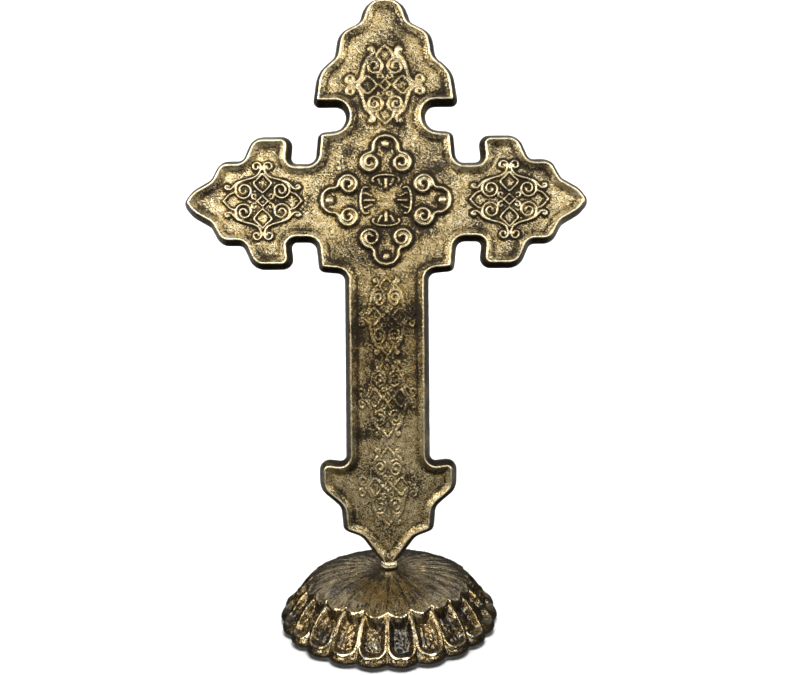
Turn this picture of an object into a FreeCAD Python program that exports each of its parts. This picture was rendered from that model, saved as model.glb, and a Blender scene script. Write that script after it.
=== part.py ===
import FreeCAD, Part

import math
import os

# Altar cross: a hollow cross of two thin cast halves, standing on a gadrooned round foot.
#
# Millimetres, +Z up, the front faces -Y. The origin is the centre of the foot's resting plane.
#
# front_shell and back_shell are one casting, used twice, one of them turned half a turn about Z.
# They face each other across the plane Y = 0 and solder_seam joins them all round. stem_rod lies
# between their two fields, is held in the solid lower point, and runs down through neck_collar and
# foot_dome. wide_washer, spring_washer and hex_nut pull it tight from inside the foot, and
# felt_ring is glued under the foot's hem.

Vector = FreeCAD.Vector
ORIGIN = Vector(0, 0, 0)
UP = Vector(0, 0, 1)

# ---------------------------------------------------------------- driving dimensions
ARM_AXIS_Z = 205.75        # height of the arms' centre line
HEAD_HEIGHT = 102.0        # top of the head above the arms' centre line
ARM_REACH = 101.6          # to the sharp corner of an arm's point, before rounding
SHAFT_HALF = 20.75         # half width of the shaft
LOWER_POINT_Z = 21.4       # sharp corner of the lower point, before it is cut off
LOWER_CUT_Z = 27.2         # the point is cut off here, to stand on the collar

HALF_DEPTH = 4.5           # from the seam plane to the crest of the rim
FIELD_DEPTH = 3.1          # from the seam plane to the field
WALL = 1.0                 # thickness of the two castings
SEAM_HALF = 0.3            # half the width of the soldered seam
SEAM_PROUD = 0.15          # how far the solder stands out of the side wall
DRAFT = 2.6                # how far the side wall leans in between seam and crest
CREST = 0.9                # flat top of the rim
SLOPE = 2.5                # run of the slope from the rim down to the field
SOLID_BELOW_Z = 40.0       # the castings are not hollow below this height
SMALLEST_RADIUS = 0.4      # corner radius kept where an inset would close an arc

FOOT_R = 52.9              # to the outermost point of the lobed rim
FOOT_TOP_Z = 23.4
FOOT_RIM_Z = 3.8           # height at which the dome meets the upright rim
DOME_POWER = 4.1           # a large power gives a flat top and a steep edge
FOOT_SIDE_WALL = 5.6       # radial thickness of the foot behind the rim
FOOT_TOP_WALL = 3.0
SEAT_R = 9.6               # flat seat for the wide washer, inside the top
FLUTES = 24
FLUTE_PITCH = 360.0 / FLUTES
FIRST_FLUTE = FLUTE_PITCH / 2    # a rib, not a flute, faces forward
FLUTE_R = 5.4              # radius of the round tool that makes a flute
FLUTE_SINK = 2.7           # depth of a flute below the dome's surface
FLUTE_FROM_R = 44.2        # a flute runs between these two radii
FLUTE_TO_R = 49.6
LOBE_FULLNESS = 1.31       # 1 gives half circles, more gives flatter lobes
TIER_R = 41.0              # the raised upper tier ends here
TIER_RISE = 0.6
HEM_INNER_R = 44.0         # inner edge of the hem under the foot
HEM_THICK = 1.8
FELT_THICK = 1.2
FELT_SETBACK = 3.4         # from the rim in to the felt
FELT_HEM_GAP = 0.6         # from the hem's inner edge out to the felt

COLLAR_TOP_R = 3.3
COLLAR_WAIST_R = 3.5
COLLAR_FOOT_R = 4.7
COLLAR_LIP = 0.7           # upright edge at the collar's foot

ROD_R = 2.0                # M4
ROD_HOLE_R = 2.25          # clearance hole for M4
ROD_TOP_Z = 150.0
ROD_SPARE = 2.6            # thread showing below the nut
NUT_ACROSS_FLATS = 7.0
NUT_HEIGHT = 3.2
WIDE_WASHER_R = 9.0
WIDE_WASHER_THICK = 1.2
SPRING_WASHER_R = 3.8
SPRING_WASHER_THICK = 0.9
SPRING_GAP = 0.8
SPRING_GAP_SLANT = 25.0    # degrees

# Corners of the right half of the cross: distance from the middle, height above the arms' centre
# line, and the radius of the rounding. Clockwise from the top.
HEAD = [
    (8.8, HEAD_HEIGHT, 10.5),
    (12.6, 90.0, 4.0),
    (23.2, 84.6, 9.0),
    (25.0, 72.6, 5.0),
    (33.8, 65.2, 14.0),
    (36.3, 47.8, 3.0),
    (19.7, 47.8, 5.0),
    (19.7, 36.4, 6.6),
]
SHOULDER = [(33.6, 34.9, 3.2)]
ARM = [
    (35.0, 19.6, 4.5),
    (47.8, 19.6, 2.8),
    (46.2, 33.1, 5.0),
    (66.2, 33.1, 8.0),
    (71.4, 21.1, 3.5),
    (82.5, 21.1, 7.0),
    (87.4, 11.8, 4.0),
    (96.5, 6.6, 12.0),
]
ARM_POINT = [(ARM_REACH, 0.0, 4.5)]
LOWER_SHOULDER = [(33.6, -34.4, 3.2), (SHAFT_HALF, -35.6, 4.0)]
# Lower end of the shaft, with heights above the resting plane.
LOWER_END = [
    (SHAFT_HALF, 76.2, 3.0),
    (34.2, 78.0, 5.0),
    (33.9, 62.5, 9.0),
    (23.4, 53.8, 6.0),
    (22.4, 42.2, 3.5),
    (13.2, 38.7, 6.0),
]
LOWER_POINT = [(0.0, LOWER_POINT_Z, 2.5)]


# ---------------------------------------------------------------- outline of the cross
def outline_corners():
    """Every corner of the outline, clockwise seen from the front."""
    under_arm = [(x, -z, radius) for x, z, radius in reversed(ARM)]
    above = HEAD + SHOULDER + ARM + ARM_POINT + under_arm + LOWER_SHOULDER
    right = [(x, z + ARM_AXIS_Z, radius) for x, z, radius in above] + LOWER_END
    left = [(-x, z, radius) for x, z, radius in reversed(right)]
    return right + LOWER_POINT + left


def inset_corners(inset):
    """The outline moved inwards: bulging corners tighten and hollow corners widen."""
    corners = outline_corners()
    moved = []
    for i, (x, z, radius) in enumerate(corners):
        before = corners[i - 1]
        after = corners[(i + 1) % len(corners)]
        arriving = Vector(x - before[0], z - before[1], 0).normalize()
        leaving = Vector(after[0] - x, after[1] - z, 0).normalize()
        inward_a = Vector(arriving.y, -arriving.x, 0)
        inward_b = Vector(leaving.y, -leaving.x, 0)
        shift = (inward_a + inward_b) * (inset / (1 + inward_a.dot(inward_b)))
        bulging = arriving.x * leaving.y - arriving.y * leaving.x < 0
        new_radius = radius - inset if bulging else radius + inset
        moved.append((x + shift.x, z + shift.y, max(new_radius, SMALLEST_RADIUS)))
    return moved


def outline_wire(inset, y):
    """The inset outline in the plane Y = y: straight sides joined by tangent arcs."""
    corners = inset_corners(inset)
    arcs = []
    for i, (x, z, radius) in enumerate(corners):
        before = corners[i - 1]
        after = corners[(i + 1) % len(corners)]
        corner = Vector(x, y, z)
        back = (Vector(before[0], y, before[1]) - corner).normalize()
        ahead = (Vector(after[0], y, after[1]) - corner).normalize()
        half_angle = back.getAngle(ahead) / 2
        reach = radius / math.tan(half_angle)
        bisector = (back + ahead).normalize()
        middle = corner + bisector * (radius / math.sin(half_angle) - radius)
        arcs.append((corner + back * reach, middle, corner + ahead * reach))
    edges = []
    for i, (start, middle, end) in enumerate(arcs):
        next_start = arcs[(i + 1) % len(arcs)][0]
        edges.append(Part.Arc(start, middle, end).toShape())
        edges.append(Part.LineSegment(end, next_start).toShape())
    return Part.Wire(edges)


def slab(inset_a, y_a, inset_b, y_b):
    """The solid between two insets of the outline, with ruled sides."""
    return Part.makeLoft([outline_wire(inset_a, y_a), outline_wire(inset_b, y_b)], True, True)


def below(z):
    """A block that holds everything of the cross below this height."""
    width = 4 * SHAFT_HALF
    depth = 4 * HALF_DEPTH
    return Part.makeBox(width, depth, z, Vector(-width / 2, -depth / 2, 0))


def rod_space():
    """The room taken by the rod inside the cross."""
    return Part.makeCylinder(ROD_R, ROD_TOP_Z, ORIGIN)


# ---------------------------------------------------------------- the cross
def front_shell():
    """A thin casting open at the seam: leaning side wall, narrow rim, slope, sunken field."""
    rim_inner = DRAFT + CREST
    field_edge = rim_inner + SLOPE
    body = slab(0.0, -SEAM_HALF, DRAFT, -HALF_DEPTH)
    sunk = slab(rim_inner, -HALF_DEPTH, field_edge, -FIELD_DEPTH)
    # The hollow follows the outside: deeper behind the rim, shallower behind the field.
    behind_rim = HALF_DEPTH - WALL
    behind_field = FIELD_DEPTH - WALL
    hollow = slab(WALL, -SEAM_HALF, DRAFT, -behind_rim)
    step = slab(rim_inner + WALL / 2, -behind_rim, field_edge + WALL / 2, -behind_field)
    hollow = hollow.cut(step).cut(below(SOLID_BELOW_Z))
    return body.cut(sunk).cut(hollow).cut(below(LOWER_CUT_Z)).cut(rod_space())


def back_shell():
    """The same casting, turned half a turn."""
    shell = front_shell()
    shell.rotate(ORIGIN, UP, 180)
    return shell


def solder_seam():
    """Solder between the halves: a band round the outline, and all of the solid lower point."""
    outer = Part.Face(outline_wire(-SEAM_PROUD, -SEAM_HALF))
    inner = Part.Face(outline_wire(WALL, -SEAM_HALF))
    thickness = Vector(0, 2 * SEAM_HALF, 0)
    opening = inner.extrude(thickness).cut(below(SOLID_BELOW_Z))
    return outer.extrude(thickness).cut(opening).cut(below(LOWER_CUT_Z)).cut(rod_space())


# ---------------------------------------------------------------- turned and stamped pieces
def spun(edges):
    """The solid made by turning a closed outline, drawn in the XZ plane, about Z."""
    return Part.Face(Part.Wire(Part.__sortEdges__(edges))).revolve(ORIGIN, UP, 360)


def polyline(points):
    return Part.makePolygon([Vector(r, 0, z) for r, z in points]).Edges


def stem_rod():
    """M4 rod, chamfered at both ends."""
    chamfer = ROD_R / 5
    bottom = nut_bottom_z() - ROD_SPARE
    return spun(polyline([
        (0, bottom),
        (ROD_R - chamfer, bottom),
        (ROD_R, bottom + chamfer),
        (ROD_R, ROD_TOP_Z - chamfer),
        (ROD_R - chamfer, ROD_TOP_Z),
        (0, ROD_TOP_Z),
        (0, bottom),
    ]))


def neck_collar():
    """A small flared ferrule that the lower point stands on."""
    lip_z = FOOT_TOP_Z + COLLAR_LIP
    waist_z = (lip_z + LOWER_CUT_Z) / 2
    flare = Part.Arc(
        Vector(COLLAR_FOOT_R, 0, lip_z),
        Vector(COLLAR_WAIST_R, 0, waist_z),
        Vector(COLLAR_TOP_R, 0, LOWER_CUT_Z),
    ).toShape()
    rest = polyline([
        (COLLAR_TOP_R, LOWER_CUT_Z),
        (ROD_HOLE_R, LOWER_CUT_Z),
        (ROD_HOLE_R, FOOT_TOP_Z),
        (COLLAR_FOOT_R, FOOT_TOP_Z),
        (COLLAR_FOOT_R, lip_z),
    ])
    return spun([flare] + rest)


def ring(outer_r, inner_r, bottom_z, height):
    disc = Part.makeCylinder(outer_r, height, Vector(0, 0, bottom_z))
    return disc.cut(Part.makeCylinder(inner_r, height, Vector(0, 0, bottom_z)))


def under_foot_z():
    """Height of the flat inside the top of the foot."""
    return FOOT_TOP_Z - FOOT_TOP_WALL


def wide_washer_bottom_z():
    return under_foot_z() - WIDE_WASHER_THICK


def spring_washer_bottom_z():
    return wide_washer_bottom_z() - SPRING_WASHER_THICK


def nut_bottom_z():
    return spring_washer_bottom_z() - NUT_HEIGHT


def wide_washer():
    return ring(WIDE_WASHER_R, ROD_HOLE_R, wide_washer_bottom_z(), WIDE_WASHER_THICK)


def spring_washer():
    """A flattened ring with a slanting gap."""
    bottom = spring_washer_bottom_z()
    washer = ring(SPRING_WASHER_R, ROD_HOLE_R, bottom, SPRING_WASHER_THICK)
    length = SPRING_WASHER_R
    height = 4 * SPRING_WASHER_THICK
    gap = Part.makeBox(length, SPRING_GAP, height, Vector(ROD_R / 2, -SPRING_GAP / 2, -height / 2))
    gap.rotate(ORIGIN, Vector(1, 0, 0), SPRING_GAP_SLANT)
    gap.translate(Vector(0, 0, bottom + SPRING_WASHER_THICK / 2))
    return washer.cut(gap)


def hex_nut():
    """M4 nut, its corners rounded off at both ends."""
    corner_r = NUT_ACROSS_FLATS / math.sqrt(3)
    chamfer = corner_r - NUT_ACROSS_FLATS / 2
    corners = []
    for k in range(7):
        angle = math.radians(60 * k)
        corners.append(Vector(corner_r * math.cos(angle), corner_r * math.sin(angle), 0))
    prism = Part.Face(Part.makePolygon(corners)).extrude(Vector(0, 0, NUT_HEIGHT))
    barrel = spun(polyline([
        (0, 0),
        (corner_r - chamfer, 0),
        (corner_r, chamfer / 2),
        (corner_r, NUT_HEIGHT - chamfer / 2),
        (corner_r - chamfer, NUT_HEIGHT),
        (0, NUT_HEIGHT),
        (0, 0),
    ]))
    nut = prism.common(barrel).cut(Part.makeCylinder(ROD_R, NUT_HEIGHT))
    nut.translate(Vector(0, 0, nut_bottom_z()))
    return nut


# ---------------------------------------------------------------- the foot
def dome_height(r, outer_r, top_z, rim_z):
    """Height of a dome at radius r: flat in the middle, steep at the edge."""
    return rim_z + (top_z - rim_z) * (1 - (r / outer_r) ** DOME_POWER)


def dome(outer_r, top_z, rim_z, floor_z):
    """The solid under a dome, down to floor_z."""
    steps = 12
    points = []
    for i in range(steps + 1):
        # Points crowd towards the edge, where the curve bends most.
        r = outer_r * math.sin(math.pi / 2 * i / steps)
        points.append(Vector(r, 0, dome_height(r, outer_r, top_z, rim_z)))
    curve = Part.BSplineCurve()
    curve.interpolate(points)
    rest = polyline([(outer_r, rim_z), (outer_r, floor_z), (0, floor_z), (0, top_z)])
    return spun([curve.toShape()] + rest)


def lobed_prism(outer_r, floor_z, height):
    """A prism whose outline is a ring of round lobes, one for each flute."""
    half_pitch = math.radians(FLUTE_PITCH / 2)
    lobe_r = LOBE_FULLNESS * outer_r * math.sin(half_pitch)
    centre_r = outer_r - lobe_r
    # Neighbouring lobes meet on the ray between them.
    meet_r = centre_r * math.cos(half_pitch)
    meet_r += math.sqrt(lobe_r ** 2 - (centre_r * math.sin(half_pitch)) ** 2)

    def at(radius, degrees):
        angle = math.radians(degrees)
        return Vector(radius * math.sin(angle), -radius * math.cos(angle), floor_z)

    edges = []
    for k in range(FLUTES):
        middle = FIRST_FLUTE + k * FLUTE_PITCH
        start = at(meet_r, middle - FLUTE_PITCH / 2)
        end = at(meet_r, middle + FLUTE_PITCH / 2)
        edges.append(Part.Arc(start, at(outer_r, middle), end).toShape())
    return Part.Face(Part.Wire(edges)).extrude(Vector(0, 0, height))


def above_dome(r, distance):
    """The point at this distance out from the dome's surface, over radius r, at the front."""
    drop = FOOT_TOP_Z - TIER_RISE - FOOT_RIM_Z
    slope = drop * DOME_POWER * r ** (DOME_POWER - 1) / FOOT_R ** DOME_POWER
    length = math.hypot(1, slope)
    z = dome_height(r, FOOT_R, FOOT_TOP_Z - TIER_RISE, FOOT_RIM_Z)
    return Vector(0, -(r + distance * slope / length), z + distance / length)


def flute(k):
    """Flute number k, as the solid to be taken away: a round-ended bar lying on the slope."""
    upper = above_dome(FLUTE_FROM_R, FLUTE_R - FLUTE_SINK)
    lower = above_dome(FLUTE_TO_R, FLUTE_R - FLUTE_SINK)
    along = lower - upper
    tool = Part.makeCylinder(FLUTE_R, along.Length, upper, along)
    tool = tool.fuse(Part.makeSphere(FLUTE_R, upper))
    tool = tool.fuse(Part.makeSphere(FLUTE_R, lower))
    tool.rotate(ORIGIN, UP, FIRST_FLUTE + k * FLUTE_PITCH)
    return tool


def foot_dome():
    """Hollow casting: fluted slope, raised upper tier with scalloped edge, lobed rim, flat hem."""
    base_top = FOOT_TOP_Z - TIER_RISE
    outside = dome(FOOT_R, base_top, FOOT_RIM_Z, FELT_THICK)
    outside = outside.common(lobed_prism(FOOT_R, FELT_THICK, FOOT_TOP_Z))
    outside = outside.cut(flute(0).multiFuse([flute(k) for k in range(1, FLUTES)]))
    tier = dome(FOOT_R, FOOT_TOP_Z, FOOT_RIM_Z + TIER_RISE, FELT_THICK)
    outside = outside.fuse(tier.common(lobed_prism(TIER_R, FELT_THICK, FOOT_TOP_Z)))
    hem_top = FELT_THICK + HEM_THICK
    inner_r = FOOT_R - FOOT_SIDE_WALL
    hollow = dome(inner_r, under_foot_z(), hem_top, hem_top)
    hollow = hollow.fuse(Part.makeCylinder(HEM_INNER_R, hem_top, ORIGIN))
    hollow = hollow.fuse(Part.makeCylinder(SEAT_R, under_foot_z(), ORIGIN))
    hole = Part.makeCylinder(ROD_HOLE_R, FOOT_TOP_Z, ORIGIN)
    return outside.cut(hollow).cut(hole)


def felt_ring():
    return ring(FOOT_R - FELT_SETBACK, HEM_INNER_R + FELT_HEM_GAP, 0, FELT_THICK)


# ---------------------------------------------------------------- build
def main():
    os.makedirs("parts", exist_ok=True)
    makers = [
        front_shell,
        back_shell,
        solder_seam,
        stem_rod,
        neck_collar,
        foot_dome,
        wide_washer,
        spring_washer,
        hex_nut,
        felt_ring,
    ]
    for maker in makers:
        name = maker.__name__
        shape = maker()
        print(f"{name}: {len(shape.Solids)} solid(s), {shape.Volume:.0f} mm3, valid {shape.isValid()}")
        shape.exportStep(f"parts/{name}.step")


main()
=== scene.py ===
import math
from collections import namedtuple

import bpy
import numpy as np
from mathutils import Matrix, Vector, kdtree, noise
from mathutils.geometry import delaunay_2d_cdt


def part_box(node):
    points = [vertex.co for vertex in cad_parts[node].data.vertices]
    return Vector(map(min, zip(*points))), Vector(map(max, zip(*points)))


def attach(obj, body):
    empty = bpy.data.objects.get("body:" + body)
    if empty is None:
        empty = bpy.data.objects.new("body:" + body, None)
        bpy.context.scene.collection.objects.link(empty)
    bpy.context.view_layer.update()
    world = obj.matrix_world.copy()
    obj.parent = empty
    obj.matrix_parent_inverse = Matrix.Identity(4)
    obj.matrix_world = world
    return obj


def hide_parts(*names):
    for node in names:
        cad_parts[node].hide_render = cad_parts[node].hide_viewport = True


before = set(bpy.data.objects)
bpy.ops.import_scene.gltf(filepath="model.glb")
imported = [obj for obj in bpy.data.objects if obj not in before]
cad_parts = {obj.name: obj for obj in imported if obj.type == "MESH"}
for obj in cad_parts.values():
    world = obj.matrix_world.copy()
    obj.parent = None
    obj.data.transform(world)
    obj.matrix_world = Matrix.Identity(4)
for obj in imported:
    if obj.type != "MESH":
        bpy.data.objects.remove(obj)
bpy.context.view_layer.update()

# Looks of the altar cross. Lengths here are millimetres and meshes are made in metres.
# +Z is up and the front faces -Y. Each shell of the cross is a relief over the XZ plane, with
# scrollwork raised on a sunken field inside a raised rim. The foot is a dome with 24 gadroons.

MM = 0.001


def node_box(node):
    """A CAD node's lowest and highest corners, in millimetres."""
    low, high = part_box(node)
    return np.array(low) / MM, np.array(high) / MM


# ---------------- sizes taken from the frame
SHELL_LOW, SHELL_HIGH = node_box("front_shell")
SEAM_HALF = -SHELL_HIGH[1]
HALF_DEPTH = -SHELL_LOW[1]
LOWER_CUT_Z = SHELL_LOW[2]
SEAM_PROUD = node_box("solder_seam")[1][0] - SHELL_HIGH[0]
ROD_LOW, ROD_HIGH = node_box("stem_rod")
ROD_R = ROD_HIGH[0]
COLLAR_LOW, COLLAR_HIGH = node_box("neck_collar")
FOOT_LOW, FOOT_HIGH = node_box("foot_dome")
WASHER_HIGH = node_box("wide_washer")[1]
FELT_LOW, FELT_HIGH = node_box("felt_ring")

# ---------------- sizes of the cross's relief
ARM_AXIS_Z = 205.75        # height of the arms' centre line
FIELD = 2.95               # height of the field above the seam plane
FIELD_CROWN = 0.25         # extra height in the middle of the field
SHADIEST_Z = 138.0          # height on the shaft where the painted shade is heaviest, level with the camera
FIELD_EDGE = 6.0           # the rim's slope ends this far in from the outline
CREST_AT = 2.75            # the rim's crest, from the outline
# The rim across its width: distance in from the outline, height above the seam plane.
RIM_PROFILE = [
    (0.0, SEAM_HALF),
    (1.2, 2.5),
    (2.0, 3.85),
    (2.4, HALF_DEPTH - 0.14),
    (CREST_AT, HALF_DEPTH),
    (3.05, HALF_DEPTH - 0.10),
    (3.3, HALF_DEPTH - 0.34),
    (4.6, FIELD + 0.56),
    (FIELD_EDGE, FIELD),
    (7.2, FIELD),
]
# Rows of points run along the outline this far in from it.
RINGS = [0.45, 0.95, 1.4, 1.8, 2.1, 2.35, 2.55, CREST_AT, 2.95, 3.15, 3.4, 3.8, 4.3, 4.9, 5.5, 6.0, 6.6]
# The hollow behind, given the same way.
WALL = 1.0
HOLLOW_PROFILE = [(0.0, SEAM_HALF), (WALL, SEAM_HALF), (2.6, 3.4), (3.6, 3.4), (5.2, 2.1), (8.0, 2.1)]
HOLLOW_RINGS = [WALL, 1.8, 2.6, 3.6, 5.2]
SOLID_BELOW_Z = 40.0       # no hollow below this height

OUTLINE_STEP = 0.72        # spacing of points along the outline
WIRE_STEP = 0.5            # and along each scroll
FIELD_STEP = 0.82          # and over the open field
HOLLOW_STEP = 3.2          # and over the hollow behind it
WIRE_ROWS = [0.0, 0.33, 0.66, 1.0, 1.35]    # across a scroll, in half widths

Wire = namedtuple("Wire", "points half_width height")


# ---------------- lines
def lengths_along(points):
    """Distance along a line at each of its points."""
    steps = np.hypot(*np.diff(points, axis=0).T)
    return np.concatenate([[0.0], np.cumsum(steps)])


def even(points, step):
    """The same line with evenly spaced points."""
    points = np.asarray(points, float)
    along = lengths_along(points)
    count = max(2, int(round(along[-1] / step)) + 1)
    at = np.linspace(0, along[-1], count)
    return np.stack([np.interp(at, along, points[:, i]) for i in range(2)], 1)


def curve_through(points, step=0.12):
    """A smooth line through a few points."""
    points = np.asarray(points, float)
    ends = [2 * points[0] - points[1], *points, 2 * points[-1] - points[-2]]
    pieces = []
    for a, b, c, d in zip(ends, ends[1:], ends[2:], ends[3:]):
        t = np.linspace(0, 1, 24, endpoint=False)[:, None]
        pieces.append(
            b
            + t * (c - a) / 2
            + t**2 * (2 * a - 5 * b + 4 * c - d) / 2
            + t**3 * (3 * b - a - 3 * c + d) / 2
        )
    return even(np.vstack([*pieces, points[-1:]]), step)


def spiral(centre, outer, inner, start, turns):
    """A scroll that winds inwards from its outer radius. Negative turns run clockwise."""
    t = np.linspace(0, 1, int(60 * abs(turns)) + 2)
    radius = outer + (inner - outer) * t**1.35
    angle = math.radians(start) + 2 * math.pi * turns * t
    return np.stack([centre[0] + radius * np.cos(angle), centre[1] + radius * np.sin(angle)], 1)


def normals_of(points):
    """Unit normals to the left of a line's direction."""
    along = np.gradient(points, axis=0)
    along /= np.linalg.norm(along, axis=1)[:, None]
    return np.stack([-along[:, 1], along[:, 0]], 1)


# ---------------- the scrollwork
def volute_line():
    """From a medallion lobe's tip, round its side, into a volute, as (outward, sideways) points."""
    centre, radius = (18.6, 7.8), 4.6
    lead = [(31.8, 0.0), (30.8, 3.6), (28.0, 5.8), (25.4, 6.1), (23.7, 7.1)]
    turn = spiral(centre, radius, 1.2, 20, 1.6)
    return np.vstack([curve_through(lead + [tuple(turn[0])]), turn[1:]])


def medallion_unit():
    """One of the four trefoils, with its bud, and the bracket with three leaves inside it."""
    bracket = [(12.6, 0.0), (12.4, 2.6), (11.8, 5.0), (10.6, 6.5), (9.2, 6.3)]
    side = [
        Wire(volute_line(), 1.3, 1.5),
        Wire(curve_through(bracket), 0.85, 0.85),
        Wire(curve_through([(10.4, 3.6), (9.2, 3.2), (7.6, 2.3)]), 0.95, 0.75),
    ]
    flipped = [Wire(w.points * [1, -1], w.half_width, w.height) for w in side]
    middle = [
        Wire(np.array([(27.9, 0.0), (28.1, 0.0), (28.3, 0.0)]), 2.1, 1.0),
        Wire(curve_through([(10.4, 0.0), (8.4, 0.0), (6.2, 0.0)]), 1.05, 0.85),
    ]
    return side + flipped + middle


def medallion():
    """Four units round the middle of the cross."""
    wires = []
    for quarter in range(4):
        angle = math.radians(90 * quarter)
        outward = np.array([math.cos(angle), math.sin(angle)])
        sideways = np.array([-outward[1], outward[0]])
        for w in medallion_unit():
            wires.append(Wire(w.points @ np.array([outward, sideways]), w.half_width, w.height))
    return wires


def knot_quarter():
    """Upper right quarter of the interlaced knot on the arms."""
    ogee = curve_through([
        (14.4, 7.2), (12.3, 9.2), (8.8, 10.4), (4.5, 11.6), (2.0, 13.3), (0.75, 15.6),
    ])
    curl = spiral((2.95, 17.0), 2.3, 0.8, 205, -1.1)
    volute = spiral((9.2, 5.3), 4.4, 0.9, 80, -1.7)
    diamond = curve_through([(0.0, 13.5), (2.4, 10.9), (4.3, 9.0), (2.8, 6.5), (0.0, 4.0)])
    crossing = curve_through([(2.9, 0.0), (1.4, 1.3), (0.0, 2.7)])
    hook = spiral((4.1, 2.5), 1.5, 0.6, 250, 0.8)
    point = curve_through([(13.7, 4.4), (16.4, 3.2), (19.4, 0.0)])
    tendril = np.vstack([
        curve_through([(14.4, 7.2), (15.6, 5.9), (17.0, 5.7)]),
        spiral((17.4, 7.0), 1.25, 0.5, 255, 0.7),
    ])
    return [
        Wire(np.vstack([ogee, curl]), 0.84, 1.0),
        Wire(volute, 0.82, 1.0),
        Wire(diamond, 0.76, 0.95),
        Wire(crossing, 0.7, 0.9),
        Wire(hook, 0.66, 0.85),
        Wire(point, 0.8, 0.9),
        Wire(tendril, 0.95, 1.05),
    ]


def knot(strength, turned=False, squeeze=1.0, spread=1.0):
    """The whole knot about (0, 0). turned stands it upright, squeeze narrows it, spread softens it."""
    wires = []
    for w in knot_quarter():
        points = w.points[:, ::-1] if turned else w.points
        for sx in (1, -1):
            for sz in (1, -1):
                at = points * [sx * squeeze, sz]
                wires.append(Wire(at, w.half_width * spread, w.height * strength))
    return wires


def moved(wires, x, z):
    return [Wire(w.points + [x, z], w.half_width, w.height) for w in wires]


SCROLL_AXIS_Z = ARM_AXIS_Z + 0.4
ARM_KNOT_X = 61.0
HEAD_KNOT_Z = ARM_AXIS_Z + 57.6
SHAFT_KNOTS = [(148.4, 0.48), (108.0, 0.38), (64.2, 0.32)]      # height, strength of the relief


def scrollwork():
    """Every scroll on the cross."""
    wires = moved(medallion(), 0, SCROLL_AXIS_Z)
    for side in (-1, 1):
        wires += moved(knot(1.0), side * ARM_KNOT_X, SCROLL_AXIS_Z)
    wires += moved(knot(0.72, turned=True, spread=1.35), 0, HEAD_KNOT_Z)
    for z, strength in SHAFT_KNOTS:
        wires += moved(knot(strength, turned=True, squeeze=0.74, spread=1.1), 0, z)
    return wires


# ---------------- the outline
def seam_outline():
    """The outline at the seam, read from the CAD shell, from one side of the lower cut to the other."""
    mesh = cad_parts["front_shell"].data
    corner = [Vector(v.co) / MM for v in mesh.vertices]
    seam_y = max(c.y for c in corner)
    links = {}
    for face in mesh.polygons:
        if face.normal.y > -0.1:
            continue
        ring = list(face.vertices)
        for a, b in zip(ring, ring[1:] + ring[:1]):
            if abs(corner[a].y - seam_y) > MM or abs(corner[b].y - seam_y) > MM:
                continue
            key_a = (round(corner[a].x, 3), round(corner[a].z, 3))
            key_b = (round(corner[b].x, 3), round(corner[b].z, 3))
            if key_a != key_b:
                links.setdefault(key_a, set()).add(key_b)
                links.setdefault(key_b, set()).add(key_a)
    here = min(key for key, ends in links.items() if len(ends) == 1)
    line, last = [here], None
    while True:
        onward = [key for key in links[here] if key != last]
        if not onward:
            return np.array(line)
        last, here = here, onward[0]
        line.append(here)


def smoothed(line, spread=0.45):
    """A finely spaced copy of the line with the facets of its arcs rounded away."""
    fine = even(line, 0.1)
    reach = int(round(3 * spread / 0.1))
    kernel = np.exp(-0.5 * (np.arange(-reach, reach + 1) * 0.1 / spread) ** 2)
    kernel /= kernel.sum()
    padded = np.vstack([2 * fine[0] - fine[reach:0:-1], fine, 2 * fine[-1] - fine[-2:-reach - 2:-1]])
    return np.stack([np.convolve(padded[:, i], kernel, "valid") for i in range(2)], 1)


def smoothstep(low, high, value):
    """0 at low and 1 at high, or the other way round if low is the larger, with soft ends."""
    t = np.clip((value - low) / (high - low), 0, 1)
    return t * t * (3 - 2 * t)


class Nearest:
    """Finds the nearest of many points, for whole arrays at a time."""

    def __init__(self, points):
        self.tree = kdtree.KDTree(len(points))
        for i, (x, z) in enumerate(points):
            self.tree.insert((x, z, 0), i)
        self.tree.balance()

    def __call__(self, points):
        found = [self.tree.find((x, z, 0)) for x, z in points]
        return np.array([f[1] for f in found]), np.array([f[2] for f in found])


def inside(points, loop):
    """True for the points inside a closed loop."""
    result = np.zeros(len(points), bool)
    for (x0, z0), (x1, z1) in zip(loop, np.roll(loop, -1, axis=0)):
        crosses = (points[:, 1] > z0) != (points[:, 1] > z1)
        if z0 != z1:
            at = x0 + (points[:, 1] - z0) * (x1 - x0) / (z1 - z0)
            result ^= crosses & (points[:, 0] < at)
    return result


class Thinner:
    """Keeps points that are not too near one already kept."""

    def __init__(self, cell):
        self.cell = cell
        self.held = {}

    def add(self, points, gap):
        kept = []
        reach = int(math.ceil(gap / self.cell))
        around = range(-reach, reach + 1)
        for x, z in points:
            i, j = int(x // self.cell), int(z // self.cell)
            near = (p for a in around for b in around for p in self.held.get((i + a, j + b), ()))
            if all((x - px) ** 2 + (z - pz) ** 2 >= gap * gap for px, pz in near):
                self.held.setdefault((i, j), []).append((x, z))
                kept.append((x, z))
        return np.array(kept).reshape(-1, 2)


# ---------------- heights of the shell
HAMMER_MARKS = [(0.08, 3.1, 1.7), (0.06, 1.3, 5.2)]     # height, size and seed of each layer
FIELD_WAVE = (0.3, 19.0, 7.7)
SHAFT_SHADE = 0.36          # painted shade on the shaft, in the middle and on the head
MIDDLE_SHADE = 0.2
HEAD_SHADE = 0.18


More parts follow.
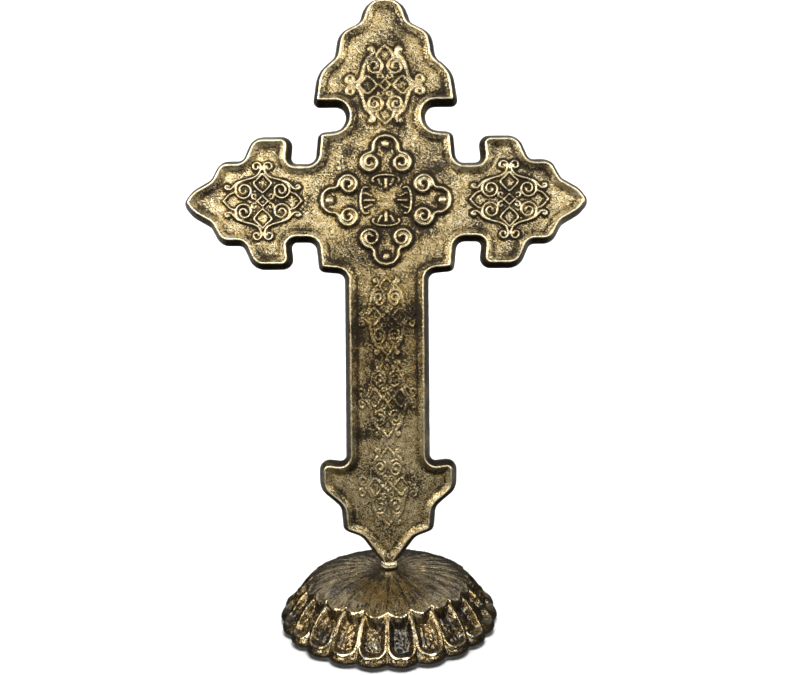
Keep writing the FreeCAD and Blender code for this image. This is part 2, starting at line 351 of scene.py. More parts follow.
def profile(points, at):
    """Height along a profile given by a few points, joined smoothly."""
    xs, ys = np.array(points).T
    fine = np.linspace(xs[0], xs[-1], 400)
    heights = np.interp(fine, xs, ys)
    kernel = np.hanning(17)
    kernel /= kernel.sum()
    padded = np.concatenate([np.full(8, heights[0]), heights, np.full(8, heights[-1])])
    soft = np.convolve(padded, kernel, "valid")
    # The start stays exact, so that the skin begins on the seam.
    soft[:6] = heights[:6]
    return np.interp(at, fine, soft)


def ridge(distance, width):
    """1 at no distance, falling off smoothly to either side."""
    return np.exp(-((distance / width) ** 2))


def bumps(points, size, seed):
    """Smooth seeded unevenness between about -1 and 1, over features of this size."""
    return np.array([noise.noise((x / size, z / size, seed)) for x, z in points])


def bumps_over(x, y, size, seed):
    """The same for a grid of points."""
    return bumps(np.stack([x.ravel(), y.ravel()], 1), size, seed).reshape(x.shape)


def relief_height(points, inset, scroll):
    """Height above the seam plane: the rim, the crowned and hammered field, and the scrolls on it."""
    on_field = np.clip((inset - FIELD_EDGE) / 10, 0, 1)
    height = profile(RIM_PROFILE, inset)
    height += FIELD_CROWN * on_field * (2 - on_field)
    hammered = sum(rise * bumps(points, size, seed) for rise, size, seed in HAMMER_MARKS)
    height += hammered * np.clip((inset - 3.6) / 2, 0.12, 1)
    rise, size, seed = FIELD_WAVE
    height += rise * on_field * bumps(points, size, seed)
    height += scroll * np.clip((inset - 4.2) / 1.8, 0, 1)
    return height


def shade_places(points):
    """How far each point is on the shaft, and the painted shade there, in the middle and on the head."""
    off_axis = np.abs(points[:, 0])
    shaft = ridge(points[:, 1] - SHADIEST_Z, 40) * smoothstep(34, 24, off_axis)
    middle = ridge(np.hypot(off_axis, points[:, 1] - ARM_AXIS_Z), 24)
    head = ridge(np.hypot(off_axis, points[:, 1] - HEAD_KNOT_Z), 26)
    return shaft, SHAFT_SHADE * shaft + MIDDLE_SHADE * middle + HEAD_SHADE * head


class Relief:
    """Height, wear with painted highlights, and patina with painted shade, of the shell's outer face, for
    any points inside the outline.
    """

    def __init__(self, outline, wires):
        self.outline = Nearest(outline)
        lines = [even(w.points, 0.1) for w in wires]
        self.wires = Nearest(np.vstack(lines))
        self.half_width = np.concatenate([np.full(len(a), w.half_width) for a, w in zip(lines, wires)])
        self.height = np.concatenate([np.full(len(a), w.height) for a, w in zip(lines, wires)])

    def __call__(self, points):
        _, inset = self.outline(points)
        which, away = self.wires(points)
        share = away / self.half_width[which]
        wire_height = self.height[which]
        crown = np.clip(1 - share**2, 0, 1) ** 1.3
        height = relief_height(points, inset, crown * wire_height)

        # Raised edges and the rim's crest are rubbed bright and carry a painted highlight. Patina and
        # painted shade lie at the foot of the scrolls, at the foot of the rim's slope and on the outer
        # wall.
        bold = np.clip(wire_height / 0.9, 0, 1) ** 1.5
        foot_of_wire = smoothstep(0.75, 1.05, share) * smoothstep(2.3, 1.3, share) * bold
        foot_of_rim = ridge(inset - FIELD_EDGE, 0.8)
        crest = ridge(inset - CREST_AT, 0.3)
        wall = smoothstep(2.5, 1.7, inset)
        wear_and_highlight = np.maximum(0.5 * crown * np.clip(wire_height, 0, 1) ** 2, crest)
        patina_and_shade = np.maximum.reduce([0.6 * foot_of_wire, 0.35 * foot_of_rim, 0.55 * wall])

        # Painted shade darkens the shaft, the middle and the head, and the painted highlights on the shaft
        # are weaker.
        shaft, painted_shade = shade_places(points)
        patina_and_shade = np.clip(patina_and_shade + painted_shade * (1 - wear_and_highlight), 0, 1)
        wear_and_highlight = wear_and_highlight * (1 - 0.45 * shaft)
        return height, wear_and_highlight, patina_and_shade


def hollow_height(points, inset):
    """Height of the cavity's surface above the seam plane, with the rod's half bore below it."""
    height = profile(HOLLOW_PROFILE, inset)
    below = points[:, 1] < SOLID_BELOW_Z
    bore = np.sqrt(np.clip(ROD_R**2 - points[:, 0] ** 2, SEAM_HALF**2, None))
    return np.where(below, bore, height)


# ---------------- building meshes
def triangulate(points, loop_count):
    """Triangles over points, the first loop_count of which are the closed border."""
    border = [(i, (i + 1) % loop_count) for i in range(loop_count)]
    done = delaunay_2d_cdt([Vector(p) for p in points.tolist()], border, [], 1, 1e-9)
    if len(done[0]) != len(points):
        raise RuntimeError("the triangulation merged or added points")
    return [tuple(face) for face in done[2]]


def new_mesh(name, points, faces, material):
    """A smooth-shaded mesh from points in millimetres."""
    mesh = bpy.data.meshes.new(name)
    mesh.from_pydata((np.asarray(points) * MM).tolist(), [], faces)
    mesh.validate()
    mesh.polygons.foreach_set("use_smooth", [True] * len(mesh.polygons))
    mesh.materials.append(material)
    return mesh


def new_object(name, data):
    made = bpy.data.objects.new(name, data)
    bpy.context.scene.collection.objects.link(made)
    return made


def new_piece(name, points, faces, material, replaces, marks=None):
    """A shown piece, with a value at each point for every mark."""
    mesh = new_mesh(name, points, faces, material)
    for key, values in (marks or {}).items():
        layer = mesh.attributes.new(key, "FLOAT", "POINT")
        layer.data.foreach_set("value", np.asarray(values, np.float32))
    piece = new_object(name, mesh)
    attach(piece, "root")
    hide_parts(replaces)


def spun(angle, r, z):
    """Points at these radii and heights, with a column for each angle, counted from the front."""
    return np.stack([r * np.sin(angle)[:, None], -r * np.cos(angle)[:, None], z], 2)


JITTER = 0.22              # share of the step by which points of the grid stray


def field_grid(outline_loop, step):
    """Jittered points in rows over the whole cross, inside the outline."""
    low, high = outline_loop.min(0), outline_loop.max(0)
    rows = []
    for j, z in enumerate(np.arange(low[1], high[1], step * 0.87)):
        xs = np.arange(low[0] + (j % 2) * step / 2, high[0], step)
        rows.append(np.stack([xs, np.full_like(xs, z)], 1))
    points = np.vstack(rows)
    points += np.random.default_rng(11).uniform(-JITTER, JITTER, points.shape) * step
    return points[inside(points, outline_loop)]


def rings_inside(line, insets, nearest, thinner, gap):
    """Rows of points along the outline at each distance in from it."""
    inward = -normals_of(line)
    kept = []
    for inset in insets:
        ring = line + inward * inset
        _, true_inset = nearest(ring)
        ring = ring[(true_inset > inset - 0.06) & (ring[:, 1] > LOWER_CUT_Z + 0.2)]
        kept.append(thinner.add(ring, gap))
    return kept


def wire_rows(wires, thinner):
    """Points along every scroll, in rows across its width."""
    kept = []
    for share in WIRE_ROWS:
        for w in wires:
            line = even(w.points, WIRE_STEP)
            sides = normals_of(line) * w.half_width * share
            for offset in ([sides] if share == 0 else [sides, -sides]):
                kept.append(thinner.add(line + offset, 0.23))
    return kept


def outer_points(line, loop, relief, wires):
    """Points of the outer skin: the border, rows along the rim and scrolls, and the open field."""
    thinner = Thinner(0.3)
    thinner.add(loop, 0)
    rows = rings_inside(line, RINGS, relief.outline, thinner, 0.27)
    rows += [r[inside(r, loop)] for r in wire_rows(wires, thinner) if len(r)]
    grid = field_grid(loop, FIELD_STEP)
    _, inset = relief.outline(grid)
    grid = grid[(inset > FIELD_EDGE + 0.5) & (grid[:, 1] > LOWER_CUT_Z + 0.4)]
    return np.vstack([loop, *rows, thinner.add(grid, 0.5)])


def inner_points(line, loop, relief):
    """Points of the skin inside the cavity, which is plain, and along the rod's bore below it."""
    thinner = Thinner(1.0)
    thinner.add(loop, 0)
    rows = rings_inside(line, HOLLOW_RINGS, relief.outline, thinner, 0.6)
    bore_z = np.arange(LOWER_CUT_Z + 1, SOLID_BELOW_Z + 2, 1.2)
    bore = np.array([(x, z) for z in bore_z for x in np.linspace(-1, 1, 7) * ROD_R])
    rows.append(thinner.add(bore[inside(bore, loop)], 0.3))
    grid = field_grid(loop, HOLLOW_STEP)
    _, inset = relief.outline(grid)
    grid = grid[(inset > FIELD_EDGE) & (grid[:, 1] > SOLID_BELOW_Z + 2)]
    return np.vstack([loop, *rows, thinner.add(grid, 2.0)])


def oriented(face, points, towards_front):
    """The face wound so that it looks towards -Y, or away from it."""
    (ax, az), (bx, bz), (cx, cz) = (points[i] for i in face)
    anticlockwise = (bx - ax) * (cz - az) - (bz - az) * (cx - ax) > 0
    return face if anticlockwise == towards_front else face[::-1]


def skin_faces(outer, inner, loop_count, shared):
    """Faces of both skins, and of the strip between them along the lower cut.

    The skins share the outline's points, which come first. Along the cut each has its own.
    """
    offset = len(outer) - shared

    def inner_index(i):
        return i if i < shared else i + offset

    faces = [oriented(face, outer, True) for face in triangulate(outer, loop_count)]
    for face in triangulate(inner, loop_count):
        faces.append(tuple(inner_index(i) for i in oriented(face, inner, False)))
    for i in range(shared - 1, loop_count):
        j = (i + 1) % loop_count
        strip = [i, j, inner_index(j), inner_index(i)]
        strip = [v for k, v in enumerate(strip) if v not in strip[:k]]
        if len(strip) > 2:
            faces.append(tuple(strip))
    return faces


def cross_surface(outline, wires):
    """The closed skin of one half of the cross: points, faces and marks, facing -Y."""
    line = even(outline, OUTLINE_STEP)
    cut_x = np.linspace(line[-1][0], line[0][0], 18)[1:-1]
    loop = np.vstack([line, np.stack([cut_x, np.full_like(cut_x, LOWER_CUT_Z)], 1)])
    relief = Relief(outline, wires)
    outer = outer_points(line, loop, relief, wires)
    inner = inner_points(line, loop, relief)

    shared = len(line)
    height, wear_and_highlight, patina_and_shade = relief(outer)
    height[:shared] = SEAM_HALF
    _, inset = relief.outline(inner)
    back = hollow_height(inner, inset)
    points = np.vstack([
        np.stack([outer[:, 0], -height, outer[:, 1]], 1),
        np.stack([inner[shared:, 0], -back[shared:], inner[shared:, 1]], 1),
    ])
    unmarked = np.zeros(len(inner) - shared)
    marks = {
        "wear_and_highlight": np.concatenate([wear_and_highlight, unmarked]),
        "patina_and_shade": np.concatenate([patina_and_shade, unmarked]),
    }
    return points, skin_faces(outer, inner, len(loop), shared), marks


# ---------------- materials
# The two marks on the meshes run from 0 to 1: wear with painted highlights, and patina with painted shade.
PATINA = (0.008, 0.006, 0.0045)
DULL_GOLD = (0.245, 0.158, 0.047)
WARM_GOLD = (0.46, 0.36, 0.185)
PALE_GOLD = (0.79, 0.73, 0.54)
PATINA_LEVEL = 0.485       # a higher level leaves less black on the gold
PATINA_ROUGHNESS = 0.40
RUBBED_AND_HIGHLIT = 0.30              # how much wear and painted highlight take the black away
SHADE_AND_PATINA = 0.30                # and how much patina and painted shade in the hollows bring it on

ZINC = [(0.3, (0.42, 0.42, 0.40)), (0.7, (0.66, 0.66, 0.63))]
WOOL = [(0.45, (0.008, 0.008, 0.008)), (0.95, (0.05, 0.048, 0.045))]
PAPER = [(0, (0.86, 0.86, 0.86)), (1, (0.9, 0.9, 0.9))]


def fill(tree, made, inputs):
    """Sets each input of a node, or links it where the value is another node's output."""
    for key, value in inputs.items():
        if isinstance(value, bpy.types.NodeSocket):
            tree.links.new(value, made.inputs[key])
        else:
            made.inputs[key].default_value = value


def node(tree, kind, inputs, **settings):
    """A new node, set down in rows of eight."""
    count = len(tree.nodes)
    made = tree.nodes.new(kind)
    made.location = (220 * (count % 8), -280 * (count // 8))
    for key, value in settings.items():
        setattr(made, key, value)
    fill(tree, made, inputs)
    return made


def blank_material(name):
    made = bpy.data.materials.new(name)
    made.use_nodes = True
    tree = made.node_tree
    return made, tree, tree.nodes["Principled BSDF"]


def mark(tree, key):
    return node(tree, "ShaderNodeAttribute", {}, attribute_name=key).outputs["Fac"]


def maths(tree, operation, *values):
    return node(tree, "ShaderNodeMath", dict(enumerate(values)), operation=operation).outputs[0]


def weighted_sum(tree, terms):
    """The sum of (value, weight) terms, added one after another from left to right."""
    total = None
    for value, weight in terms:
        if weight != 1:
            value = maths(tree, "MULTIPLY", value, weight)
        total = value if total is None else maths(tree, "ADD", total, value)
    return total


def remap(tree, value, start, end, new_start, new_end, kind="LINEAR"):
    """Carries the stretch from start to end over to a new one, and holds at its ends."""
    stretch = {"Value": value, "From Min": start, "From Max": end, "To Min": new_start, "To Max": new_end}
    return node(tree, "ShaderNodeMapRange", stretch, interpolation_type=kind).outputs["Result"]


def grain(tree, size, detail, stretch=(1, 1, 1), turned=0.0, roughness=0.5):
    """Noise with features about this many millimetres across, turned about Y by so many degrees."""
    place = node(tree, "ShaderNodeTexCoord", {}).outputs["Object"]
    turn = (0, math.radians(turned), 0)
    scaled = {"Vector": place, "Scale": stretch, "Rotation": turn}
    vector = node(tree, "ShaderNodeMapping", scaled, vector_type="TEXTURE").outputs["Vector"]
    noisy = {"Vector": vector, "Scale": 1 / (size * MM), "Detail": detail, "Roughness": roughness}
    return node(tree, "ShaderNodeTexNoise", noisy).outputs["Fac"]


def ramp(tree, value, stops):
    made = node(tree, "ShaderNodeValToRGB", {"Fac": value})
    elements = made.color_ramp.elements
    while len(elements) < len(stops):
        elements.new(0.5)
    for element, (position, colour) in zip(elements, stops):
        element.position = position
        element.color = (*colour, 1)
    return made.outputs["Color"]


def fine_bumps(tree, height, strength, depth):
    """A surface direction for fine bumps, this many millimetres deep."""
    inputs = {"Height": height, "Strength": strength, "Distance": depth * MM}
    return node(tree, "ShaderNodeBump", inputs).outputs["Normal"]


def antique_gold(name, tarnish, bright=1.0, grain_mm=0.75, bump=0.6, gloss=0.86, lacquer=0.0):
    """Polished gold over a hammered casting, with dark specks, black patina and painted shade in the
    hollows, and paler gold with painted highlights where worn.
    """
    made, tree, shader = blank_material(name)
    wear_and_highlight = mark(tree, "wear_and_highlight")
    patina_and_shade = mark(tree, "patina_and_shade")
    patches = grain(tree, 12.0, 3)
    hammered = grain(tree, 2.3, 2)
    specks = grain(tree, grain_mm, 5, roughness=0.68)
    pits = grain(tree, grain_mm * 0.62, 2, roughness=0.6)
    fine = grain(tree, 0.25, 1)
    brushed = grain(tree, 0.42, 3, stretch=(5.0, 1, 1), turned=38)

    # The black shows where this sum is high, and in small pits. Patina and painted shade raise the sum, and
    # wear with painted highlights lowers it.
    level = weighted_sum(tree, [
        (patches, 0.62),
        (specks, 1),
        (brushed, 0.35),
        (tarnish - PATINA_LEVEL, 1),
        (patina_and_shade, SHADE_AND_PATINA),
        (wear_and_highlight, -RUBBED_AND_HIGHLIT),
    ])
    specked = remap(tree, level, 0.55, 0.65, 0, 0.96, "SMOOTHSTEP")
    unworn_pits = weighted_sum(tree, [(pits, 1), (wear_and_highlight, -RUBBED_AND_HIGHLIT)])
    pitted = remap(tree, unworn_pits, 0.56, 0.63, 0, 0.95, "SMOOTHSTEP")
    black = maths(tree, "MAXIMUM", specked, pitted)

    # Wear and painted highlights lighten the gold, and patina and painted shade darken it.
    tone = weighted_sum(tree, [(hammered, 0.5), (fine, 0.5), (wear_and_highlight, 0.22), (patina_and_shade, -0.32)])
    golds = [[channel * bright for channel in gold] for gold in (DULL_GOLD, WARM_GOLD, PALE_GOLD)]
    gold = ramp(tree, tone, list(zip((0.32, 0.52, 0.75), golds)))
    mixed = {"Factor": black, "A": gold, "B": (*PATINA, 1)}
    polish = remap(tree, black, 0, 1, 1 - gloss, PATINA_ROUGHNESS)

    relief = weighted_sum(tree, [(hammered, 1.3), (specks, 1), (brushed, 0.5), (black, -0.35), (fine, 0.3)])
    unrubbed = maths(tree, "MULTIPLY_ADD", wear_and_highlight, -0.6, 1.0)
    fill(tree, shader, {
        "Base Color": node(tree, "ShaderNodeMix", mixed, data_type="RGBA").outputs["Result"],
        "Roughness": weighted_sum(tree, [(polish, 1), (fine, 0.14)]),
        "Metallic": remap(tree, black, 0, 1, 1.0, 0.85),
        "Specular IOR Level": 0.3,
        "Coat Weight": lacquer,
        "Coat Roughness": 0.12,
        "Normal": fine_bumps(tree, maths(tree, "MULTIPLY", relief, unrubbed), bump, 0.3),
    })
    return made


def plated_steel():
    """Zinc plate: cool grey, faintly mottled, with fine turning marks round the rod's axis."""
    made, tree, shader = blank_material("plated_steel")
    mottle = grain(tree, 2.2, 4)
    turning = grain(tree, 0.3, 2, stretch=(2.5, 2.5, 0.4))
    fill(tree, shader, {
        "Base Color": ramp(tree, mottle, ZINC),
        "Roughness": remap(tree, mottle, 0, 1, 0.26, 0.5),
        "Metallic": 1.0,
        "Normal": fine_bumps(tree, turning, 0.2, 0.1),
    })
    return made


def black_felt():
    """Pressed wool: matted fibres, no shine."""
    made, tree, shader = blank_material("black_felt")
    fibres = grain(tree, 0.35, 5, stretch=(1, 2.8, 1))
    mat = grain(tree, 3.0, 3)
    fill(tree, shader, {
        "Base Color": ramp(tree, weighted_sum(tree, [(mat, 0.4), (fibres, 1)]), WOOL),
        "Roughness": 0.95,
        "Sheen Weight": 0.35,
        "Normal": fine_bumps(tree, fibres, 0.8, 0.2),
    })
    return made


# ---------------- the two shells
def make_shells(outline):
    material = antique_gold("gold_on_cross", tarnish=0.045)
    points, faces, marks = cross_surface(outline, scrollwork())
    new_piece("front_shell_relief", points, faces, material, "front_shell", marks)
    turned = points * [-1, -1, 1]
    new_piece("back_shell_relief", turned, faces, material, "back_shell", marks)


def tube_faces(length, around, closed=False):
    """Faces of a tube of length rings with around points each, capped unless it closes on itself."""
    faces = []
    for i in range(length if closed else length - 1):
        a, b = i * around, ((i + 1) % length) * around
        for j in range(around):
            k = (j + 1) % around
            faces.append((a + j, a + k, b + k, b + j))
    if not closed:
        faces.append(tuple(range(around))[::-1])
        faces.append(tuple((length - 1) * around + j for j in range(around)))
    return faces


def turned_over(faces):
    """The same faces, looking the other way."""
    return [face[::-1] for face in faces]


# Half round the bead's section: distance out from the outline, and side of the seam plane.
HALF_BEAD = [(-0.35, -1.0), (0.45, -0.85), (0.95, -0.45)]
BEAD_CREST = (1.1, 0.0)


def make_seam(outline):
    """A bead of solder that fills the gap between the shells and stands a little proud of them."""
    line = even(outline, OUTLINE_STEP)
    inward = -normals_of(line)
    stand = SEAM_PROUD * (1.15 + 0.5 * bumps(line, 2.4, 9.1))
    section = HALF_BEAD + [BEAD_CREST] + [(out, -side) for out, side in HALF_BEAD[::-1]]
    rows = []
    for out, side in section:
        at = line - inward * (stand * out)[:, None]
        rows.append(np.stack([at[:, 0], np.full(len(at), side * SEAM_HALF), at[:, 1]], 1))
    # Behind the wall it ends at the hollow, or lower down, where the point is solid, at the rod.
    inner = line + inward * WALL
    held = line[:, 1] < SOLID_BELOW_Z
    inner[held, 0] = np.sign(line[held, 0]) * ROD_R
    inner[held, 1] = line[held, 1]
    for side in (1.0, -1.0):
        rows.append(np.stack([inner[:, 0], np.full(len(inner), side * SEAM_HALF), inner[:, 1]], 1))
    points = np.stack(rows, 1)
    points[..., 2] = np.maximum(points[..., 2], LOWER_CUT_Z)
    points = points.reshape(-1, 3)
    marks = {"wear_and_highlight": np.full(len(points), 0.15), "patina_and_shade": np.full(len(points), 0.5)}
    material = antique_gold("gold_on_seam", tarnish=0.10, bright=0.85)
    faces = turned_over(tube_faces(len(line), len(rows)))
    new_piece("solder_bead", points, faces, material, "solder_seam", marks)


# ---------------- the foot
FLUTES = 24
FLUTE_PITCH = 2 * math.pi / FLUTES
HALF_PITCH = FLUTE_PITCH / 2
STEPS_PER_FLUTE = 24
LOBE_FULLNESS = 1.31       # 1 gives half circles round the rim, more gives flatter lobes
FOOT_R = FOOT_HIGH[0] / math.cos(HALF_PITCH) - 0.05
FOOT_RIM_Z = 3.8           # height at which the dome meets the upright rim
HEM_Z = FOOT_LOW[2]
HEM_TOP_Z = HEM_Z + 1.8
HEM_INNER_R = 44.0
INNER_R = FOOT_R - 5.6
SEAT_R = 9.6               # flat seat for the wide washer, inside the top
SEAT_Z = WASHER_HIGH[2]
HOLE_R = 2.25
FOOT_TOP = FOOT_HIGH[2]
TIER_RISE = 0.6
TIER_EDGE_R = 40.8         # the raised upper tier ends here in the middle of each flute
BASE_TOP = FOOT_TOP - TIER_RISE
DOME_POWER = 4.1           # a large power gives a flat top and a steep edge

CELL_FROM_R = 37.0         # the cells are the round-ended hollows between the ribs
CELL_TO_R = 51.9
CELL_DEPTH = 3.0
CELL_CORNER_R = 3.9
CELL_WALL = 2.7            # run of a cell's side, from its lip to its floor
RIB_HALF = 0.65            # half width of the rib between two cells
LIP_RISE = 0.28            # height of the lip round each cell
PETAL_RISE = 0.35          # the tier's petals are parted by grooves
GROOVE_SINK = 0.26
ROLL_RISE = 0.45           # rolled edge of the tier
TONGUE_RISE = 0.55         # and the tongues in it, over the ribs
INNER_RING_R = 17.6
INNER_RING_RISE = 0.22


def dome_z(r, outer, top, rim):
    return rim + (top - rim) * (1 - np.clip(r / outer, 0, 1) ** DOME_POWER)


def lobe_radius(turn):
    """Radius of the lobed rim at each angle, measured from the nearest flute's middle."""
    lobe = LOBE_FULLNESS * FOOT_R * math.sin(HALF_PITCH)
    centre = FOOT_R - lobe
    return centre * np.cos(turn) + np.sqrt(lobe**2 - (centre * np.sin(turn)) ** 2)


def foot_rows():
    """Radii of the rows over the dome: close together where the cells are."""
    top = np.arange(HOLE_R, CELL_FROM_R, 0.95)
    slope = CELL_FROM_R + (FOOT_R - CELL_FROM_R) * np.sin(np.linspace(0, math.pi / 2, 62)) ** 0.9
    return np.concatenate([top, slope])


class FootTop:
    """The dome's outer face: a grid of columns round it and rows out over it, and what lies where."""

    def __init__(self):
        columns = FLUTES * STEPS_PER_FLUTE
        self.angle = np.arange(columns) * 2 * math.pi / columns
        # A rib, not a flute, faces forward, so the middle of the first flute is half a pitch round.
        self.turn = (self.angle % FLUTE_PITCH) - HALF_PITCH
        self.radius = foot_rows()[None, :]
        self.height = dome_z(self.radius, FOOT_R, BASE_TOP, FOOT_RIM_Z)
        steps = np.hypot(np.diff(self.radius[0]), np.diff(self.height[0]))
        self.slant = np.concatenate([[0], np.cumsum(steps)])[None, :]
        self.x = self.radius * np.sin(self.angle)[:, None]
        self.y = -self.radius * np.cos(self.angle)[:, None]
        # No two cells are quite alike.
        uneven = np.random.default_rng(5).uniform(-1, 1, (FLUTES, 4))
        self.uneven = uneven[np.arange(columns) // STEPS_PER_FLUTE]
        edge_r = TIER_EDGE_R + 0.45 * self.uneven[:, 0][:, None]
        edge_r = edge_r - 2.1 * np.abs(self.turn[:, None] / HALF_PITCH) ** 1.7
        self.edge = self.slant_at(edge_r)
        self.place_cells()
        self.place_tier()
        self.place_roughness()

    def slant_at(self, r):
        """Distance down the slope at this radius."""
        return np.interp(r, self.radius[0], self.slant[0])

    def place_cells(self):
        """The cells and the lips round them."""
        across = self.radius * np.sin(self.turn)[:, None]
        half_width = np.maximum(self.radius * math.sin(HALF_PITCH) - RIB_HALF, 0.5)
        start, end = self.slant_at(CELL_FROM_R), self.slant_at(CELL_TO_R)
        middle, half_length = (start + end) / 2, (end - start) / 2
        past_side = np.abs(across) - (half_width - CELL_CORNER_R)
        past_end = np.abs(self.slant - middle) - (half_length - CELL_CORNER_R)
        beyond = np.hypot(np.maximum(past_side, 0), np.maximum(past_end, 0))
        within = np.minimum(np.maximum(past_side, past_end), 0)
        # Distance out from the cell's edge. The tier covers the cell's upper end.
        self.outside = np.maximum(beyond + within - CELL_CORNER_R, self.edge - self.slant + 0.2)
        self.lip = ridge(self.outside - 0.25, 0.55)
        self.lip = self.lip * smoothstep(self.edge - 0.5, self.edge + 1.5, self.slant)
        self.low_lip = self.lip * smoothstep(middle, end, self.slant)
        self.in_cell = smoothstep(0, -1.5, self.outside)

    def place_tier(self):
        """The upper tier, with its rolled edge, petals and tongues."""
        self.on_tier = smoothstep(0.25, -0.35, self.slant - self.edge)
        self.rolled = ridge(self.slant - self.edge + 0.55, 0.6)
        from_rib = self.radius * np.abs(np.sin(HALF_PITCH - np.abs(self.turn)))[:, None]
        self.out_from_hub = smoothstep(7, 16, self.radius)
        self.groove = ridge(from_rib, 0.42) * self.out_from_hub
        self.petal = np.cos(math.pi * self.turn / FLUTE_PITCH)[:, None]
        near_edge = smoothstep(self.slant_at(30), self.slant_at(37), self.slant)
        self.tongue = ridge(from_rib, 1.3) * near_edge

    def place_roughness(self):
        """Lumps, rubbed patches and streaks."""
        self.lumps = bumps_over(self.x, self.y, 1.5, 3.3)
        self.patchy = np.clip(0.55 + 1.6 * bumps_over(self.x, self.y, 2.6, 4.4), 0, 1)
        # The streaks are unevenness drawn out along the radius.
        round_it, out = np.broadcast_arrays(self.angle[:, None] * 26, self.radius / 8)
        self.streaks = bumps_over(round_it * 1.9, out * 1.9, 1.0, 8.8)

    def push(self):
        """How far the surface stands out from the plain dome."""
        depth = CELL_DEPTH * (1 + 0.12 * self.uneven[:, 1][:, None])
        push = -depth * smoothstep(0.0, -CELL_WALL, self.outside) + LIP_RISE * self.lip
        petals = PETAL_RISE * self.petal * self.out_from_hub
        push = push + self.on_tier * (TIER_RISE - GROOVE_SINK * self.groove + petals - 0.15)
        push = push + self.on_tier * (ROLL_RISE * self.rolled + TONGUE_RISE * self.tongue)
        inner_ring = smoothstep(INNER_RING_R, INNER_RING_R - 1, self.radius - 0.8 * self.petal)
        push = push + INNER_RING_RISE * inner_ring * self.on_tier
        rough = 0.10 * self.lumps + 0.62 * self.lumps * self.in_cell
        return push + rough + 0.20 * self.streaks * self.on_tier * self.out_from_hub

    def surface(self):
        """Radius and height of every point, with the dome's edge drawn in to the lobed rim."""
        push = self.push()
        steepness = (BASE_TOP - FOOT_RIM_Z) * DOME_POWER / FOOT_R**DOME_POWER
        fall = steepness * self.radius ** (DOME_POWER - 1)
        length = np.hypot(1, fall)
        lobes = lobe_radius(self.turn)[:, None]
        squeeze = 1 - (1 - lobes / FOOT_R) * smoothstep(41.5, FOOT_R, self.radius)
        out_r = (self.radius + push * fall / length) * squeeze
        out_z = self.height + push / length
        # The hub is flat, for the collar to stand on.
        hub = smoothstep(HOLE_R + 6, HOLE_R + 2, self.radius)
        return out_r, out_z * (1 - hub) + FOOT_TOP * hub

    def marks(self):
        """Wear with painted highlights, and patina with painted shade, at every point."""
        # The lower lips and the tier's rolled edge are rubbed, and carry painted highlights too.
        rubbed_and_highlit_edges = 0.9 * self.low_lip**2 + 0.9 * self.rolled**2 * self.on_tier
        wear_and_highlight = np.clip(0.1 * self.lip + self.patchy * rubbed_and_highlit_edges, 0, 1)
        # Patina all over, with painted shade in the cells and in the grooves between the petals.
        tier_patina_and_shade = self.on_tier * (0.3 * self.groove - 0.5 * self.streaks - 0.2)
        return wear_and_highlight, np.clip(0.42 + 0.1 * self.in_cell + tier_patina_and_shade - wear_and_highlight, 0, 1)


def foot_underside(top, rim_r, rim_z):
    """Rows below the dome: the rounded rim band, the hem, the hollow, and back up the hole."""
    t = np.linspace(0, 1, 11)[1:][None, :]
    band_r = rim_r + 0.35 * np.sin(math.pi * t) - 0.9 * t**4
    band_z = rim_z + (HEM_Z - rim_z) * t
    band_r = band_r + 0.06 * bumps_over(top.x[:, -1:] + 0 * t, top.y[:, -1:] + 9 * t, 1.6, 2.2)
    hem_r = band_r[:, -1:] + (HEM_INNER_R - band_r[:, -1:]) * np.linspace(0.25, 1, 4)[None, :]
    inside_r = INNER_R * np.sin(np.linspace(math.pi / 2, 0.24, 20))
    inside_z = dome_z(inside_r, INNER_R, SEAT_Z, HEM_TOP_Z)
    tail = [(HEM_INNER_R, HEM_Z + 0.9), (HEM_INNER_R, HEM_TOP_Z)]
    tail += list(zip(inside_r, inside_z))
    tail += [(SEAT_R, SEAT_Z), (6.0, SEAT_Z), (HOLE_R, SEAT_Z), (HOLE_R, (SEAT_Z + FOOT_TOP) / 2)]
    tail_r, tail_z = (np.repeat(row[None, :], len(rim_r), 0) for row in np.array(tail).T)
    return [band_r, hem_r, tail_r], [band_z, np.full_like(hem_r, HEM_Z), tail_z]


def make_foot():
    top = FootTop()
    out_r, out_z = top.surface()
    below_r, below_z = foot_underside(top, out_r[:, -1:], out_z[:, -1:])
    r = np.concatenate([out_r, *below_r], 1)
    z = np.concatenate([out_z, *below_z], 1)
    columns, rows = r.shape
    wear_and_highlight, patina_and_shade = top.marks()
    unmarked = np.zeros((columns, rows - wear_and_highlight.shape[1]))
    marks = {
        "wear_and_highlight": np.concatenate([wear_and_highlight, unmarked], 1).ravel(),
        "patina_and_shade": np.concatenate([patina_and_shade, unmarked + 0.25], 1).ravel(),
    }
    material = antique_gold(
        "gold_on_foot", tarnish=-0.04, grain_mm=0.9, bump=0.45, gloss=0.90, lacquer=0.8
    )
    points = spun(top.angle, r, z).reshape(-1, 3)
    faces = tube_faces(columns, rows, closed=True)
    new_piece("foot_relief", points, faces, material, "foot_dome", marks)


